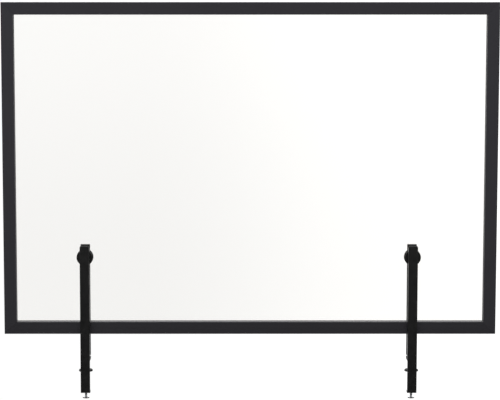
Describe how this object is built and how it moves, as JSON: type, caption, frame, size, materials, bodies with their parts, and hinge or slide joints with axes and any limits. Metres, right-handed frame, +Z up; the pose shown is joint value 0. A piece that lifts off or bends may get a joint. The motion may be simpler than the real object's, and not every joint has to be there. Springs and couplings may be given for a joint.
{
  "type": "desk privacy panel",
  "caption": "Clear framed desk divider panel, held upright by two forked clamps that slide along its bottom rail and grip a desk edge with a screw.",
  "frame": {"origin": "on the desk top, at the underside of the upper jaws, at the middle of the panel's width, in the pane's middle plane", "axes": "+X along the desk edge and the panel's length, +Y over the desk, away from the clamps' smooth fronts, +Z up"},
  "size_m": [1.04, 0.0384, 0.84],
  "materials": {
    "frame": "charcoal satin anodised extrusion with mitred corners",
    "gasket": "matt black glazing gasket",
    "pane": "clear polished pane, faint soft reflection",
    "corner_key": "plain mill finish, hidden inside the frame",
    "frame_screw": "black oxide screw heads",
    "clamp_steel": "black powder coat, satin, fine orange-peel grain",
    "cap_plastic": "moulded black plastic end cap, fine grain",
    "pad_rubber": "matt black rubber",
    "zinc": "bright zinc plated steel"
  },
  "bodies": {
    "panel": {"top_rail": "frame", "bottom_rail": "frame", "left_stile": "frame", "right_stile": "frame", "top_gasket": "gasket", "bottom_gasket": "gasket", "left_gasket": "gasket", "right_gasket": "gasket", "pane": "pane", "top_left_key": "corner_key", "top_right_key": "corner_key", "bottom_left_key": "corner_key", "bottom_right_key": "corner_key", "key_screws": "frame_screw"},
    "left_clamp": {"left_jaw_bracket": "clamp_steel", "left_front_bar": "clamp_steel", "left_rear_bar": "clamp_steel", "left_end_cap": "cap_plastic", "left_front_backing": "clamp_steel", "left_rear_backing": "clamp_steel", "left_front_glass_pad": "pad_rubber", "left_rear_glass_pad": "pad_rubber", "left_rivet_nuts": "zinc", "left_pad_screw": "zinc", "left_cross_bolt": "zinc", "left_cross_sleeve": "pad_rubber", "left_jaw_pad": "pad_rubber", "left_weld_nut": "clamp_steel"},
    "right_clamp": {"right_jaw_bracket": "clamp_steel", "right_front_bar": "clamp_steel", "right_rear_bar": "clamp_steel", "right_end_cap": "cap_plastic", "right_front_backing": "clamp_steel", "right_rear_backing": "clamp_steel", "right_front_glass_pad": "pad_rubber", "right_rear_glass_pad": "pad_rubber", "right_rivet_nuts": "zinc", "right_pad_screw": "zinc", "right_cross_bolt": "zinc", "right_cross_sleeve": "pad_rubber", "right_jaw_pad": "pad_rubber", "right_weld_nut": "clamp_steel"},
    "left_press": {"left_pressure_plate": "clamp_steel", "left_pressure_pad": "pad_rubber"},
    "right_press": {"right_pressure_plate": "clamp_steel", "right_pressure_pad": "pad_rubber"},
    "left_screw": {"left_clamp_screw": "zinc"},
    "right_screw": {"right_clamp_screw": "zinc"}
  },
  "joints": [
    {"name": "left_clamp_slide", "type": "slide", "parent": "panel", "child": "left_clamp", "axis": [1, 0, 0], "range_m": [-0.1, 0.1]},
    {"name": "right_clamp_slide", "type": "slide", "parent": "panel", "child": "right_clamp", "axis": [1, 0, 0], "range_m": [-0.1, 0.1]},
    {"name": "left_press_slide", "type": "slide", "parent": "left_clamp", "child": "left_press", "axis": [0, 0, 1], "range_m": [-0.032, 0.01]},
    {"name": "right_press_slide", "type": "slide", "parent": "right_clamp", "child": "right_press", "axis": [0, 0, 1], "range_m": [-0.032, 0.01]},
    {"name": "left_screw_turn", "type": "hinge", "parent": "left_press", "child": "left_screw", "pos_m": [-0.349, -0.0015, -0.066], "axis": [0, 0, 1], "range_deg": [-11520, 3600]},
    {"name": "right_screw_turn", "type": "hinge", "parent": "right_press", "child": "right_screw", "pos_m": [0.3435, -0.0015, -0.066], "axis": [0, 0, 1], "range_deg": [-11520, 3600]}
  ],
  "couplings": [
    {"joint": "left_screw_turn", "follows": "left_press_slide", "rad_per_m": 6283.2},
    {"joint": "right_screw_turn", "follows": "right_press_slide", "rad_per_m": 6283.2}
  ]
}
